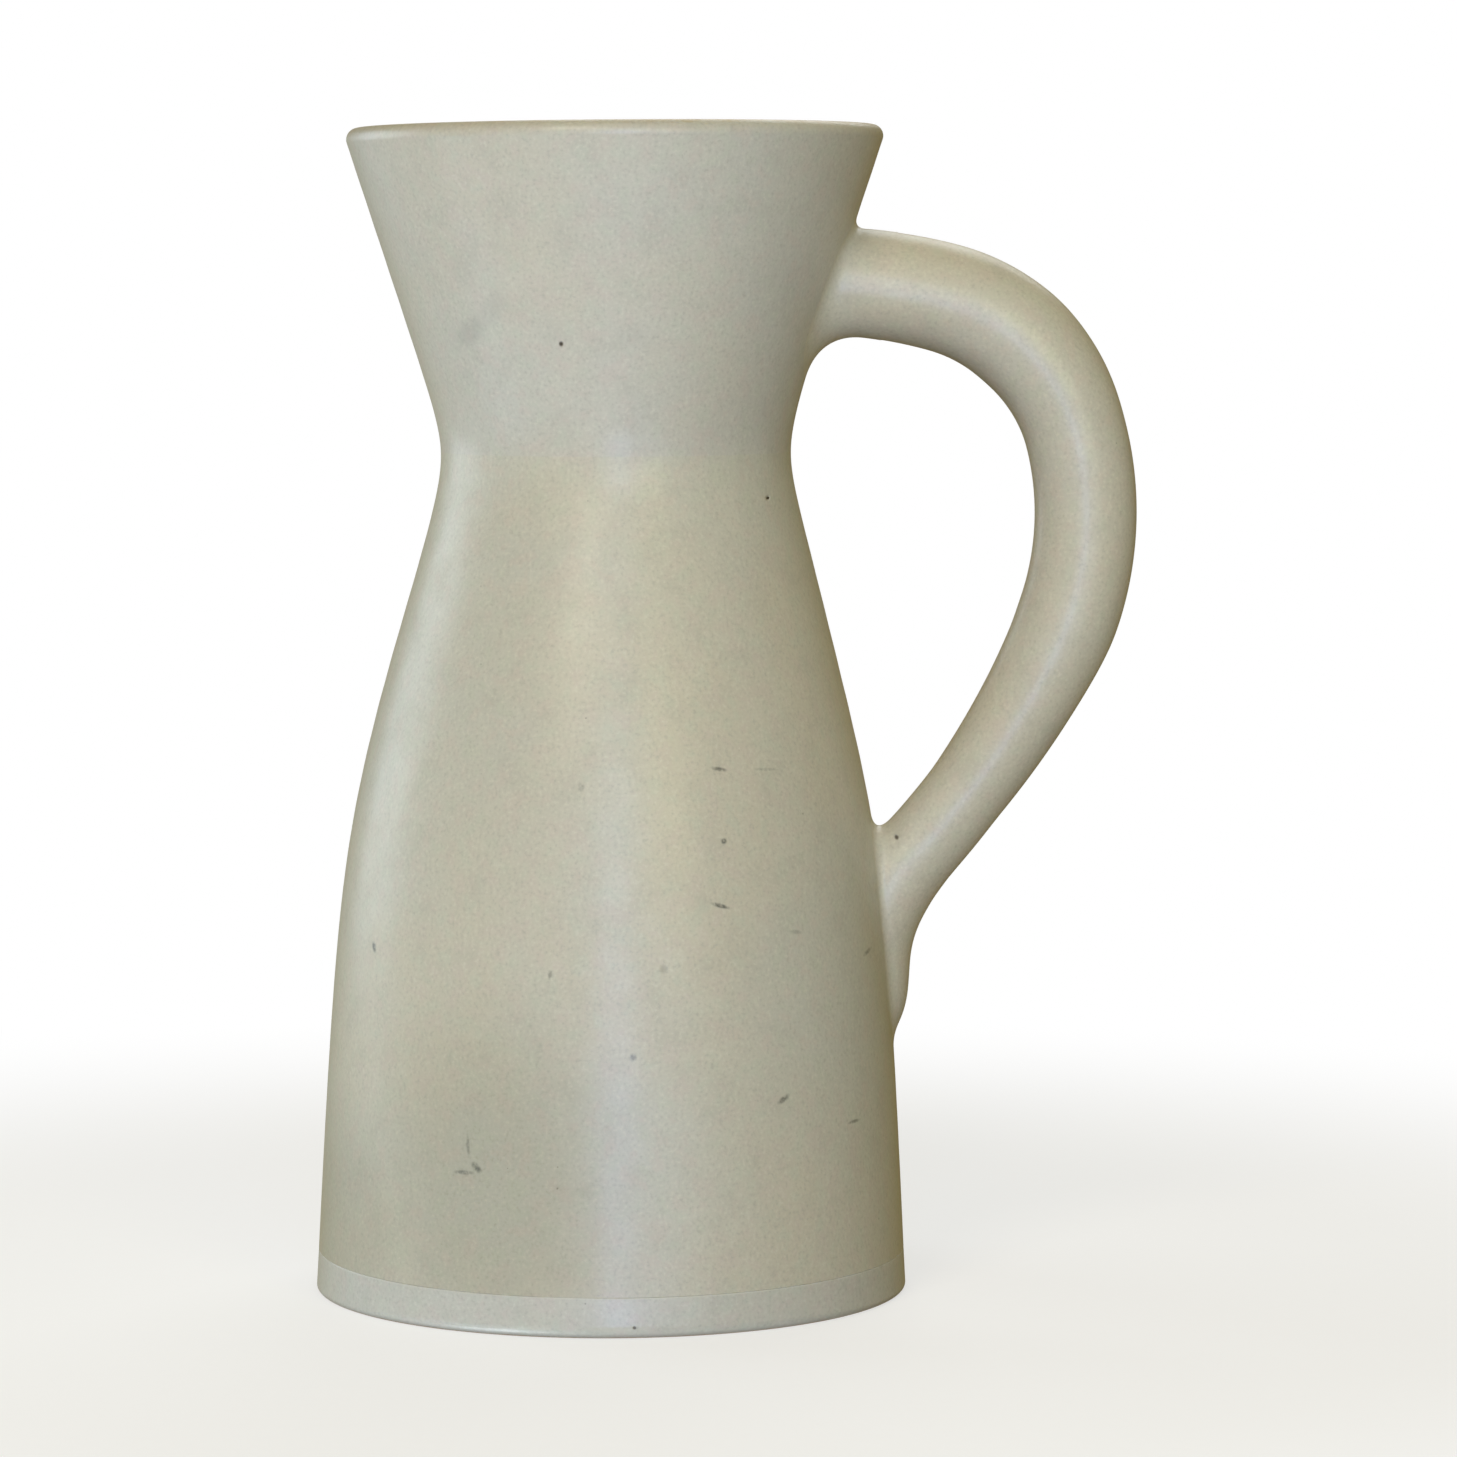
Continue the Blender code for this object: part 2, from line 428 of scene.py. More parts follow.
@dataclass(frozen=True)
class Limb:
    """The handle with its tail: a round section carried along a line in the XZ plane.

    The line is a chain of stretches, each with a length and the angle that it turns down by.
    """

    start: tuple[float, float] = (0.0460, 0.2518)
    heading: float = 2.7
    stretches: tuple[tuple[float, float], ...] = (
        (0.0377, 17.6),
        (0.0470, 58.5),
        (0.0585, 42.9),
        (0.0593, 15.3),
        (0.0066, -1.0),
        (0.0258, -38.7),
        (0.0244, 6.5),
    )
    stations: tuple[float, ...] = (
        0.0, 0.060, 0.085, 0.135, 0.155, 0.185, 0.2020, 0.2155, 0.2295, 0.2435, 0.2520, 0.2575,
    )
    radii: tuple[float, ...] = (
        0.0132, 0.0138, 0.0127, 0.0127, 0.0116, 0.0102, 0.0103, 0.0113, 0.0112, 0.0110, 0.0079, 0.0050,
    )
    softness: float = 0.005
    step: float = 0.00002

    def soften(self, values: Array) -> Array:
        """Runs a bell of weights along values, so that their kinks become bends.

        Args:
            values: one number for each fine step of the line.

        Returns:
            The softened values, as many as before.
        """
        half = int(round(self.softness / self.step))
        bell = np.hanning(2 * half + 1)
        padded = np.concatenate([np.full(half, values[0]), values, np.full(half, values[-1])])
        return np.convolve(padded, bell / bell.sum(), mode="valid")

    def read(self, distance: Array) -> tuple[Array, Array, Array, Array]:
        """Reads the line: the heading's cosine and sine are added up along it.

        Args:
            distance: distances along the line.

        Returns:
            At each distance the point, the direction along the line, the direction square to it
            on the outer side, and the section's radius.
        """
        lengths = np.array([stretch[0] for stretch in self.stretches])
        ends = np.concatenate([[0.0], np.cumsum(lengths)])
        turns = np.concatenate([[0.0], np.cumsum([stretch[1] for stretch in self.stretches])])
        fine = np.arange(0.0, ends[-1] + self.step, self.step)
        angle = np.radians(self.soften(self.heading - np.interp(fine, ends, turns)))
        x = self.start[0] + np.cumsum(np.cos(angle)) * self.step
        z = self.start[1] + np.cumsum(np.sin(angle)) * self.step
        size = self.soften(np.interp(fine, self.stations, self.radii))
        here = np.interp(distance, fine, angle)
        flat = 0 * here
        point = np.stack([np.interp(distance, fine, x), flat, np.interp(distance, fine, z)], axis=-1)
        along = np.stack([np.cos(here), flat, np.sin(here)], axis=-1)
        outwards = np.stack([-np.sin(here), flat, np.cos(here)], axis=-1)
        return point, along, outwards, np.interp(distance, fine, size)

    def rings(self, distance: Array, turn: Array) -> Array:
        """Rings of the section: the line's point plus r (cos v outwards + sin v sideways).

        Args:
            distance: where along the line each ring is.
            turn: the angles v round each ring, 0 on the outer side.

        Returns:
            A grid of points, rings by angles by x, y, z.
        """
        point, _, outwards, radius = self.read(distance)
        sideways = np.array([0.0, 1.0, 0.0])
        round_it = np.cos(turn)[None, :, None] * outwards[:, None, :]
        round_it = round_it + np.sin(turn)[None, :, None] * sideways
        return point[:, None, :] + radius[:, None, None] * round_it


@dataclass
class Root:
    """Where the limb runs into the wall: both surfaces joined by a smooth blend.

    With a the distance to the wall, b the distance to the limb and k the blend's width, the skin is
    where min(a, b) - max(k - |a - b|, 0)^2 / 4k is 0.
    """

    wall: WallShape
    limb: Limb
    hand: HandWork
    ring_at: float
    limb_from: float
    limb_to: float
    middle: float
    outer_width: float
    inner_width: float
    side_width: float
    at_start: bool
    rows: int = 84
    columns: int = 160
    spacing: float = 0.0005
    relaxing: int = 60
    first_slides: int = 12
    last_slides: int = 4
    longest_slide: float = 0.002
    rays: int = 721
    ray_length: float = 0.045
    halvings: int = 30
    sunk: float = 0.0003
    heart: float = 0.0016
    centres: Array = field(init=False)
    alongs: Array = field(init=False)
    outwards: Array = field(init=False)
    sizes: Array = field(init=False)
    growth: Array = field(init=False)

    def __post_init__(self) -> None:
        """Reads the stretch of limb that the blend can feel, moved back to before it settled."""
        distance = np.arange(self.limb_from, self.limb_to, self.spacing)
        point, self.alongs, self.outwards, self.sizes = self.limb.read(distance)
        self.centres = self.hand.unsettle(point)
        self.growth = np.gradient(self.sizes, distance)

    def to_limb(self, points: Array) -> tuple[Array, Array, Array]:
        """Distance to the limb, from the nearest of its centres slid to the foot of the perpendicular.

        Args:
            points: one row each.

        Returns:
            The distances, the directions in which they grow, and the cosine of the turn from the
            limb's outer side.
        """
        apart = (points**2).sum(axis=1)[:, None] - 2 * points @ self.centres.T
        apart = np.maximum(apart + (self.centres**2).sum(axis=1), 0.0)
        nearest = np.argmin(np.sqrt(apart) - self.sizes, axis=1)
        offset = points - self.centres[nearest]
        slide = (offset * self.alongs[nearest]).sum(axis=1)
        slide = np.clip(slide, -self.spacing / 2, self.spacing / 2)
        offset = offset - slide[:, None] * self.alongs[nearest]
        length = np.maximum(np.linalg.norm(offset, axis=1), 1e-9)
        away = offset / length[:, None]
        size = self.sizes[nearest] + slide * self.growth[nearest]
        return length - size, away, (away * self.outwards[nearest]).sum(axis=1)

    def width(self, facing: Array) -> Array:
        """The blend's width: the side's, run into the outer or the inner one as the skin faces.

        Args:
            facing: the cosine of the turn from the limb's outer side.

        Returns:
            The width at each place.
        """
        outer = (self.outer_width - self.side_width) * smooth_step(facing, 0.1, 0.95)
        inner = (self.inner_width - self.side_width) * smooth_step(-facing, 0.1, 0.95)
        return self.side_width + outer + inner

    def skin(self, points: Array) -> tuple[Array, Array]:
        """The blend's value, 0 on the skin, and its slope.

        Args:
            points: one row each.

        Returns:
            The values and the slopes.
        """
        to_wall, off_wall = self.wall.gap(points)
        to_limb, off_limb, facing = self.to_limb(points)
        width = self.width(facing)
        near = np.maximum(width - np.abs(to_wall - to_limb), 0.0)
        value = np.minimum(to_wall, to_limb) - near**2 / (4 * width)
        share = near / (2 * width)
        of_wall = np.where(to_wall < to_limb, 1 - share, share)[:, None]
        return value, of_wall * off_wall + (1 - of_wall) * off_limb

    def onto_skin(self, points: Array, times: int) -> Array:
        """Slides points to the skin, each time by the value over the slope, down the slope.

        Args:
            points: one row each.
            times: how often they are moved.

        Returns:
            The moved points.
        """
        for _ in range(times):
            value, slope = self.skin(points)
            pull = value / np.maximum((slope**2).sum(axis=1), 0.05)
            points = points - np.clip(pull, -self.longest_slide, self.longest_slide)[:, None] * slope
        return points

    def footprint(self, turn: Array) -> Array:
        """The ring on the wall where the blend ends, found by halving along rays from its middle.

        Args:
            turn: the ring's angles, which are shared out evenly along its length.

        Returns:
            The ring's points.
        """
        angle = np.linspace(0.0, 2 * math.pi, self.rays)
        near, far = 0 * angle, 0 * angle + self.ray_length
        for _ in range(self.halvings):
            middle = (near + far) / 2
            point = self.wall.on_wall(middle * np.sin(angle), self.middle + middle * np.cos(angle))
            reach, _, facing = self.to_limb(point)
            outside = reach > self.width(facing)
            near, far = np.where(outside, near, middle), np.where(outside, middle, far)
        ring = self.wall.on_wall(near * np.sin(angle), self.middle + near * np.cos(angle))
        length = np.concatenate([[0.0], np.cumsum(np.linalg.norm(np.diff(ring, axis=0), axis=1))])
        share = (turn if self.at_start else math.pi - turn) % (2 * math.pi) / (2 * math.pi)
        return np.stack([np.interp(share * length[-1], length, ring[:, i]) for i in range(3)], axis=-1)

    def shape(self) -> tuple[Array, Faces]:
        """The root's skin from its ring on the limb to its footprint, with both ends closed.

        Rows start evenly spaced on straight lines between the two rings. They slide onto the skin
        and each is drawn to the middle of its neighbours, until they lie evenly along it.

        Returns:
            The points and the faces.
        """
        turn = np.linspace(0.0, 2 * math.pi, self.columns, endpoint=False)
        first = self.hand.unsettle(self.limb.rings(np.array([self.ring_at]), turn))[0]
        last = self.footprint(turn)
        share = np.linspace(0.0, 1.0, self.rows)[:, None, None]
        grid = first * (1 - share) + last * share
        grid[1:-1] = self.onto_skin(grid[1:-1].reshape(-1, 3), self.first_slides).reshape(grid[1:-1].shape)
        for _ in range(self.relaxing):
            eased = (grid[:-2] + grid[2:]) / 2
            grid[1:-1] = self.onto_skin(eased.reshape(-1, 3), 1).reshape(eased.shape)
        grid[1:-1] = self.onto_skin(grid[1:-1].reshape(-1, 3), self.last_slides).reshape(grid[1:-1].shape)
        _, off_wall = self.wall.gap(last)
        grid = np.concatenate([grid, (last - self.sunk * off_wall)[None]])
        heart = self.wall.on_wall(np.array([0.0]), np.array([self.middle]))[0]
        _, off_heart = self.wall.gap(heart)
        start = self.hand.unsettle(self.limb.read(np.array([self.ring_at]))[0])[0]
        poles = (start, heart - self.heart * off_heart)
        points, faces = capped(grid[::-1], *poles[::-1]) if self.at_start else capped(grid, *poles)
        return self.hand.settle(points), faces


# ---------------------------------------------------------------- shader building


class Value:
    """A socket that carries one number, used in sums as a number is."""

    def __init__(self, bench: Bench, socket: bpy.types.NodeSocket) -> None:
        """Holds a socket and the bench that its node stands on."""
        self.bench = bench
        self.socket = socket

    def __add__(self, other: Value | float) -> Value:
        """Self plus other."""
        return self.bench.maths("ADD", self, other)

    def __sub__(self, other: Value | float) -> Value:
        """Self less other."""
        return self.bench.maths("SUBTRACT", self, other)

    def __rsub__(self, other: float) -> Value:
        """Other less self."""
        return self.bench.maths("SUBTRACT", other, self)

    def __mul__(self, other: Value | float) -> Value:
        """Self times other."""
        return self.bench.maths("MULTIPLY", self, other)

    def __or__(self, other: Value | float) -> Value:
        """The larger of the two."""
        return self.bench.maths("MAXIMUM", self, other)

    __radd__ = __add__
    __rmul__ = __mul__


Source = Value | bpy.types.NodeSocket | float | tuple


@dataclass(frozen=True)
class Mark:
    """One mark or patch on the glaze."""

    place: tuple[float, float, float]
    length: float
    width: float
    slant: float
    strength: float
    reach: float = 0.012


class Bench:
    """A material's nodes while they are being put together."""

    def __init__(self, name: str) -> None:
        """Starts a material with nothing but its output and its object coordinates.

        Args:
            name: the material's name.
        """
        self.material = bpy.data.materials.new(name)
        self.material.use_nodes = True
        self.tree = self.material.node_tree
        self.tree.nodes.clear()
        self.output = self.tree.nodes.new("ShaderNodeOutputMaterial")
        self.place = self.node("ShaderNodeTexCoord").outputs["Object"]

    def node(
        self,
        kind: str,
        settings: dict[str, object] | None = None,
        sockets: dict[str | int, Source] | None = None,
    ) -> bpy.types.Node:
        """Adds a node.

        Args:
            kind: the node's type.
            settings: its own settings, which are set first.
            sockets: a value or a link for each of its inputs.

        Returns:
            The node.
        """
        made = self.tree.nodes.new(kind)
        for name, setting in (settings or {}).items():
            setattr(made, name, setting)
        for name, source in (sockets or {}).items():
            source = source.socket if isinstance(source, Value) else source
            if isinstance(source, bpy.types.NodeSocket):
                self.tree.links.new(source, made.inputs[name])
            else:
                made.inputs[name].default_value = source
        return made

    def maths(self, operation: str, first: Source, second: Source) -> Value:
        """One Math node.

        Args:
            operation: the node's operation.
            first: its first input.
            second: its second input.

        Returns:
            The result.
        """
        made = self.node("ShaderNodeMath", {"operation": operation}, {0: first, 1: second})
        return Value(self, made.outputs[0])

    def step(self, value: Source, low: float, high: float, first: float = 0.0, last: float = 1.0) -> Value:
        """Reads a value on a smooth step.

        Args:
            value: the value.
            low: where the step starts; it may be above where it ends.
            high: where it ends.
            first: what it starts from.
            last: what it ends at.

        Returns:
            The step at the value.
        """
        sockets = {"Value": value, "From Min": low, "From Max": high, "To Min": first, "To Max": last}
        if low > high:
            sockets.update({"From Min": high, "From Max": low, "To Min": last, "To Max": first})
        made = self.node("ShaderNodeMapRange", {"interpolation_type": "SMOOTHSTEP"}, sockets)
        return Value(self, made.outputs["Result"])

    def mix(self, share: Source, first: Source, second: Source) -> bpy.types.NodeSocket:
        """A colour between two.

        Args:
            share: how much of the second there is.
            first: the first colour.
            second: the second colour.

        Returns:
            The mixed colour.
        """
        colours = [(*colour, 1.0) if isinstance(colour, tuple) else colour for colour in (first, second)]
        sockets = {0: share, 6: colours[0], 7: colours[1]}
        return self.node("ShaderNodeMix", {"data_type": "RGBA"}, sockets).outputs[2]

    def tint(self, share: Source, first: Source, second: Colour) -> bpy.types.NodeSocket:
        """A colour multiplied by another.

        Args:
            share: how much of the product there is.
            first: the colour.
            second: what it is multiplied by.

        Returns:
            The tinted colour.
        """
        settings = {"data_type": "RGBA", "blend_type": "MULTIPLY"}
        return self.node("ShaderNodeMix", settings, {0: share, 6: first, 7: (*second, 1.0)}).outputs[2]

    def noise(self, grain: float, detail: float = 2.0, moved: float = 0.0, squash: float = 1.0) -> Value:
        """Soft noise over the piece.

        Args:
            grain: the size of its lumps.
            detail: how many finer layers it has.
            moved: how far its pattern is moved, so that two noises differ.
            squash: how many times flatter its lumps are than they are wide.

        Returns:
            The noise, about 0.5 in the middle.
        """
        spread = {"Vector": self.place, "Location": (moved, -moved, moved), "Scale": (1.0, 1.0, squash)}
        at = self.node("ShaderNodeMapping", {}, spread).outputs[0]
        made = self.node("ShaderNodeTexNoise", {}, {"Vector": at, "Scale": 1.0 / grain, "Detail": detail})
        return Value(self, made.outputs[0])

    def height(self) -> Value:
        """The height above the table."""
        return Value(self, self.node("ShaderNodeSeparateXYZ", {}, {0: self.place}).outputs[2])

    def dots(self, pitch: float, size: float, share: float, moved: float) -> Value:
        """Scattered dots: the cells of a jittered lattice, a share of which have a dot at the middle.

        Args:
            pitch: the size of the cells.
            size: the radius of the largest dots.
            share: how many of the cells have a dot.
            moved: how far the pattern is moved.

        Returns:
            1 at a dot's middle and 0 off the dots.
        """
        at = self.node("ShaderNodeMapping", {}, {"Vector": self.place, "Location": (moved, moved, moved)})
        cells = self.node("ShaderNodeTexVoronoi", {}, {"Vector": at.outputs[0], "Scale": 1.0 / pitch})
        pick = Value(self, self.node("ShaderNodeSeparateColor", {}, {0: cells.outputs["Color"]}).outputs[0])
        reach = self.step(pick, share, 0.0, 0.0, size / pitch)
        return self.step(Value(self, cells.outputs["Distance"]) - reach, 0.0, -0.4 * size / pitch)

    def stroke(self, mark: Mark) -> Value:
        """A worn mark: the distance from its middle, measured in its own length and width.

        Args:
            mark: the mark.

        Returns:
            1 in the mark's middle and 0 off it.
        """
        settings = {"vector_type": "TEXTURE"}
        sockets = {
            "Vector": self.place,
            "Location": mark.place,
            "Rotation": (0.0, -math.radians(mark.slant), 0.0),
            "Scale": (mark.length / 2, mark.reach, mark.width / 2),
        }
        at = self.node("ShaderNodeMapping", settings, sockets).outputs[0]
        away = self.node("ShaderNodeVectorMath", {"operation": "LENGTH"}, {0: at}).outputs["Value"]
        return self.step(away, 1.0, 0.25) * mark.strength


METAL_MARKS = (
    Mark((0.0276, -0.0550, 0.1352), 0.0052, 0.0014, -12.0, 0.75),
    Mark((0.0391, -0.0478, 0.1345), 0.0080, 0.0010, -4.0, 0.31),
    Mark((0.0288, -0.0583, 0.1182), 0.0020, 0.0019, 20.0, 0.94),
    Mark((0.0280, -0.0612, 0.1029), 0.0060, 0.0014, -18.0, 0.95),
    Mark((0.0462, -0.0502, 0.0953), 0.0040, 0.0014, -12.0, 0.38),
    Mark((0.0641, -0.0255, 0.0875), 0.0034, 0.0014, 38.0, 0.56),
    Mark((-0.0565, -0.0381, 0.0901), 0.0014, 0.0036, 8.0, 0.88),
    Mark((-0.0127, -0.0677, 0.0870), 0.0015, 0.0030, -8.0, 0.44),
    Mark((0.0432, -0.0567, 0.0555), 0.0042, 0.0019, 35.0, 0.75),
    Mark((0.0606, -0.0383, 0.0473), 0.0042, 0.0012, 6.0, 0.62),
    Mark((0.0071, -0.0702, 0.0676), 0.0026, 0.0024, 0.0, 0.56),
    Mark((-0.0326, -0.0640, 0.0455), 0.0012, 0.0070, 4.0, 0.47),
    Mark((-0.0305, -0.0653, 0.0402), 0.0042, 0.0023, -48.0, 0.80),
    Mark((-0.0336, -0.0638, 0.0388), 0.0066, 0.0015, 2.0, 0.65),
    Mark((-0.0053, -0.0619, 0.1315), 0.0020, 0.0026, 0.0, 0.44),
)
"""Grey strokes of metal on the bell: where knives, taps and buttons have rubbed the glaze."""

DARK_SPECKS = (
    Mark((-0.0102, -0.0488, 0.2369), 0.0015, 0.0017, 0.0, 1.0),
    Mark((0.0145, -0.0674, 0.0884), 0.0026, 0.0030, 0.0, 0.28),
    Mark((0.0717, -0.0095, 0.1139), 0.0014, 0.0017, 30.0, 0.9),
    Mark((0.0075, -0.0741, 0.0030), 0.0012, 0.0012, 0.0, 0.8),
)
"""Iron specks and chips, brown to black."""

GREY_PATCHES = (
    Mark((-0.0325, -0.0385, 0.2395), 0.0150, 0.0085, 40.0, 0.50),
    Mark((-0.0262, -0.0420, 0.2455), 0.0150, 0.0080, 45.0, 0.36),
)
# Soft grey patches on the front left of the neck.
"""Soft grey smears."""

LOW_DARK_PATCHES = (
    Mark((-0.0660, -0.0320, 0.0200), 0.0900, 0.0800, 0.0, 0.55, 0.050),
    Mark((-0.0270, -0.0660, 0.0330), 0.0900, 0.1250, 0.0, 0.62, 0.060),
)
# Broad places low on the bell where the glaze is darker and warmer.
"""Broad places where the glaze lies lean and the clay warms it."""

PINHOLES = (Mark((0.0395, -0.0233, 0.1990), 0.0016, 0.0016, 0.0, 1.0),)
"""Burst bubbles in the glaze, each with a pale ring."""


@dataclass
class Surface:
    """A glaze while it is being worked out: its patterns, its colour, its roughness and its relief."""

    bench: Bench
    clouds: Value
    mottle: Value
    grain: Value
    colour: bpy.types.NodeSocket
    rough: Value
    relief: Value

    def paint(self, share: Source, colour: Source) -> None:
        """Mixes a share of a colour in."""
        self.colour = self.bench.mix(share, self.colour, colour)

    def ragged(self, wander: float) -> Value:
        """The height above the table, made uneven by the mottle.

        Args:
            wander: how far it strays.

        Returns:
            The uneven height.
        """
        return self.bench.height() + (self.mottle - 0.5) * wander

    def joined(self, marks: tuple[Mark, ...]) -> Value | None:
        """Puts strokes together, the strongest at each place.

        Args:
            marks: the strokes.

        Returns:
            Their joint strength, or None where there are none.
        """
        total = None
        for mark in marks:
            stroke = self.bench.stroke(mark)
            total = stroke if total is None else total | stroke
        return total


@dataclass(frozen=True)
class SatinGlaze:
    """A satin stoneware glaze: soft mottling, fine grain, iron specks, wear marks and a thin ochre edge."""

    name: str
    colour: Colour = (0.540, 0.517, 0.422)
    warm: Colour = (0.566, 0.514, 0.394)
    cool: Colour = (0.515, 0.509, 0.438)
    metal_grey: Colour = (0.085, 0.090, 0.080)
    iron: Colour = (0.060, 0.045, 0.030)
    ochre: Colour = (0.500, 0.400, 0.220)
    thin_glaze: Colour = (0.330, 0.295, 0.275)
    clay: Colour = (0.400, 0.290, 0.195)
    clay_dark: Colour = (0.270, 0.180, 0.115)
    dark_patch_tint: Colour = (0.72, 0.70, 0.63)
    shine: float = 0.52
    coat: float = 0.30
    coat_roughness: float = 0.27
    cloud_size: float = 0.060
    streak_size: float = 0.018
    mottle_size: float = 0.0075
    tint_size: float = 0.0042
    grain_size: float = 0.0009
    fleck_pitch: float = 0.0065
    fleck_size: float = 0.00030
    fleck_share: float = 0.45
    edge_at: float | None = None
    edge_depth: float = 0.0006
    # where the painted highlight along the foot band's upper edge sits, how deep it reaches and how strong it
    # is
    highlight_at: float | None = None
    highlight_depth: float = 0.0006
    thin_below: float | None = None
    wiped_below: float = 0.0005
    wiped_clean: float = 0.0003
    rim_wander: float = 0.0016
    foot_wander: float = 0.0004
    cloud_relief: float = 0.0003
    mottle_relief: float = 0.00008
    grain_relief: float = 0.000045
    grit_relief: float = 0.0002
    speck_pit: float = 0.00025
    pinhole_pit: float = 0.0003
    fleck_strength: float = 0.38
    grey_patch_strength: float = 0.6
    thin_strength: float = 0.55
    highlight_strength: float = 0.55
    rub_polish: float = 0.08
    clay_roughness: float = 0.38
    marks: tuple[Mark, ...] = ()
    specks: tuple[Mark, ...] = ()
    grey_patches: tuple[Mark, ...] = ()
    dark_patches: tuple[Mark, ...] = ()
    pinholes: tuple[Mark, ...] = ()

    @property
    def shade(self) -> Colour:
        """The glaze's colour in its darker mottles."""
        return tuple(part * 0.80 for part in self.colour)

    @property
    def light(self) -> Colour:
        """The glaze's colour in its paler mottles."""
        return tuple(min(part * 1.16, 1.0) for part in self.colour)

    def fired(self, bench: Bench) -> Surface:
        """The glaze as it leaves the kiln: clouds, streaks, mottle, tints, grain and flecks of iron.

        Args:
            bench: where the nodes go.

        Returns:
            The surface.
        """
        clouds = bench.noise(self.cloud_size, 3.0, moved=0.31)
        mottle = bench.noise(self.mottle_size, 4.0, moved=0.77)
        grain = bench.noise(self.grain_size, 3.0, moved=0.13)
        streaks = bench.noise(self.streak_size, 4.0, moved=0.52, squash=0.35)
        tint = bench.noise(self.tint_size, 3.0, moved=0.61)
        colour = bench.mix(bench.step(clouds, 0.36, 0.64), self.warm, self.cool)
        rough = bench.step(mottle, 0.25, 0.75, self.shine - 0.05, self.shine + 0.06)
        relief = grain * self.grain_relief + mottle * self.mottle_relief + clouds * self.cloud_relief
        surface = Surface(bench, clouds, mottle, grain, colour, rough, relief)
        surface.paint(bench.step(streaks, 0.35, 0.75, 0.35, 0.75), self.colour)
        surface.paint(bench.step(mottle, 0.50, 0.72, 0.0, 0.30), self.shade)
        surface.paint(bench.step(mottle, 0.46, 0.28, 0.0, 0.22), self.light)
        red, green, blue = self.colour
        surface.paint(bench.step(tint, 0.50, 0.68, 0.0, 0.45), (red * 1.04, green * 0.94, blue * 0.97))
        surface.paint(bench.step(tint, 0.48, 0.32, 0.0, 0.45), (red * 0.95, green * 1.02, blue * 0.98))
        surface.paint(bench.step(grain, 0.50, 0.80, 0.0, 0.75), self.shade)
        surface.paint(bench.step(grain, 0.50, 0.22, 0.0, 0.65), self.light)
        fleck = bench.dots(self.fleck_pitch, self.fleck_size, self.fleck_share, moved=0.05)
        surface.paint(fleck * self.fleck_strength, self.iron)
        return surface

    def wear(self, surface: Surface) -> None:
        """Adds broad darker patches and soft grey patches, and what use and the kiln have left: metal rubs,
        specks and pinholes.

        Args:
            surface: the surface.
        """
        bench = surface.bench
        # broad patches that darken and warm the glaze low on the bell
        lean = surface.joined(self.dark_patches)
        if lean is not None:
            surface.colour = bench.tint(lean, surface.colour, self.dark_patch_tint)
        metal = surface.joined(self.marks)
        if metal is not None:
            surface.paint(metal * bench.step(surface.grain, 0.30, 0.62, 0.45, 1.0), self.metal_grey)
            surface.rough = surface.rough - metal * self.rub_polish
        # soft grey patches on the front left of the neck
        grey_patch = surface.joined(self.grey_patches)
        if grey_patch is not None:
            surface.paint(grey_patch * self.grey_patch_strength, tuple(part * 0.62 for part in self.cool))
        dark = surface.joined(self.specks)
        if dark is not None:
            surface.paint(dark, self.iron)
            surface.relief = surface.relief - dark * self.speck_pit
        burst = surface.joined(self.pinholes)
        if burst is not None:
            surface.paint(bench.step(burst, 0.05, 0.45, 0.0, 0.5), self.light)
            surface.paint(bench.step(burst, 0.6, 0.9), self.iron)
            surface.relief = surface.relief - burst * self.pinhole_pit

    def break_at_edges(self, surface: Surface) -> None:
        """Lets the glaze break ochre along the rim, and paints a pale highlight along the foot band's upper
        edge, where its ledge catches the light.

        Args:
            surface: the surface.
        """
        bench = surface.bench
        if self.edge_at is not None:
            ragged = surface.ragged(self.rim_wander) + (surface.grain - 0.5) * (self.rim_wander / 2)
            bare = bench.step(ragged, self.edge_at - self.edge_depth, self.edge_at)
            surface.paint(bare * bench.step(surface.clouds, 0.35, 0.60, 0.35, 0.70), self.ochre)
        # painted highlight: a pale line along the foot band's upper edge, where its ledge catches the light
        if self.highlight_at is not None:
            low, high = self.highlight_at - self.highlight_depth, self.highlight_at - 0.3 * self.highlight_depth
            pale = bench.step(surface.ragged(self.foot_wander), low, high)
            surface.paint(pale * self.highlight_strength, self.light)

    def wipe_foot(self, surface: Surface) -> None:
        """Thins the glaze near the table and wipes it off to gritty clay where the jug stands.

        Args:
            surface: the surface.
        """
        if self.thin_below is None:
            return
        bench = surface.bench
        ragged = surface.ragged(self.foot_wander)
        thin = bench.step(ragged, self.thin_below, self.wiped_below)
        surface.paint(thin * self.thin_strength, self.thin_glaze)
        bare = bench.step(ragged, self.wiped_below, self.wiped_clean)
        surface.paint(bare, bench.mix(bench.step(surface.grain, 0.35, 0.65), self.clay_dark, self.clay))
        surface.rough = surface.rough + bare * self.clay_roughness
        surface.relief = surface.relief + bare * surface.grain * self.grit_relief

    def material(self) -> bpy.types.Material:
        """Builds the material.

        Returns:
            The material.
        """
        bench = Bench(self.name)
        surface = self.fired(bench)
        self.wear(surface)
        self.break_at_edges(surface)
        self.wipe_foot(surface)
        height = {"Height": surface.relief, "Distance": 1.0, "Strength": 1.0}
        normal = bench.node("ShaderNodeBump", {}, height).outputs[0]
        sockets = {"Base Color": surface.colour, "Roughness": surface.rough, "Normal": normal, "IOR": 1.5}
        sockets.update({"Coat Weight": self.coat, "Coat Roughness": self.coat_roughness})
        shader = bench.node("ShaderNodeBsdfPrincipled", {}, sockets)
        bench.tree.links.new(shader.outputs[0], bench.output.inputs[0])
        return bench.material


# ---------------------------------------------------------------- the jug's sub-assemblies


